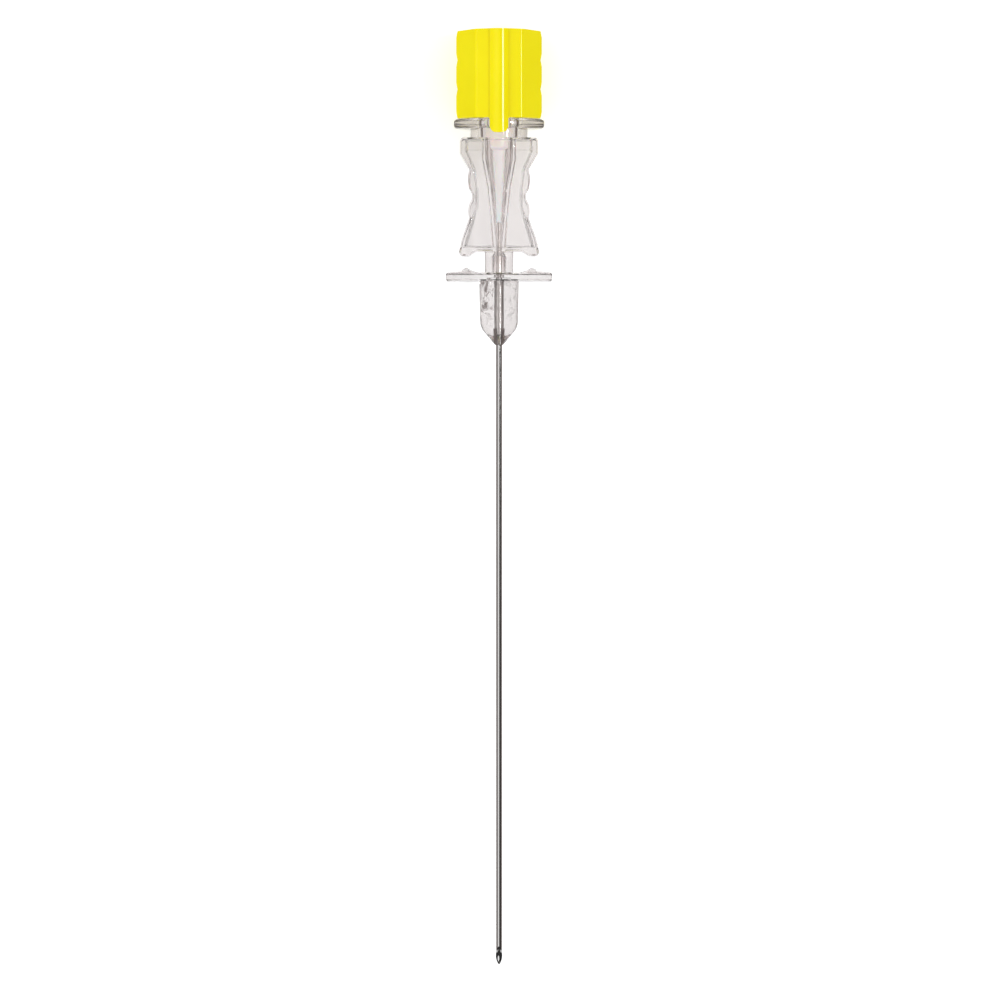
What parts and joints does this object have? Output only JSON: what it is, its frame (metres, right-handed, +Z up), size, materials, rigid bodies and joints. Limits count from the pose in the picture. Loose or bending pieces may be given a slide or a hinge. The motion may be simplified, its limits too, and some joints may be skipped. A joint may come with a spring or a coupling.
{
  "type": "spinal needle",
  "caption": "Lancet-point spinal needle with a clear finned hub, a square anti-roll wing and a keyed yellow stylet cap on a solid wire.",
  "frame": {"origin": "on the needle's axis, where the steel tube leaves the hub's nose", "axes": "+Y along the needle towards the stylet cap, +Z up from the table, out of the hub's key side, +X across the flat of the wing, to the right when the cap points away and the key side faces the viewer"},
  "size_m": [0.0152, 0.1341, 0.013],
  "materials": {
    "clear_plastic": "clear moulded plastic, polished",
    "steel_tube": "bright drawn stainless steel",
    "glue": "cured clear glue",
    "steel_wire": "bright stainless steel wire",
    "natural_plastic": "natural moulded plastic, smooth",
    "yellow_plastic": "opaque yellow moulded plastic, glossy"
  },
  "bodies": {
    "needle": {"hub": "clear_plastic", "cannula": "steel_tube", "adhesive": "glue"},
    "stylet": {"stylet_cap": "yellow_plastic", "stylet_insert": "natural_plastic", "stylet_wire": "steel_wire"}
  },
  "joints": [
    {"name": "stylet_withdraw", "type": "slide", "parent": "needle", "child": "stylet", "axis": [0, 1, 0], "range_m": [0, 0.12]}
  ]
}
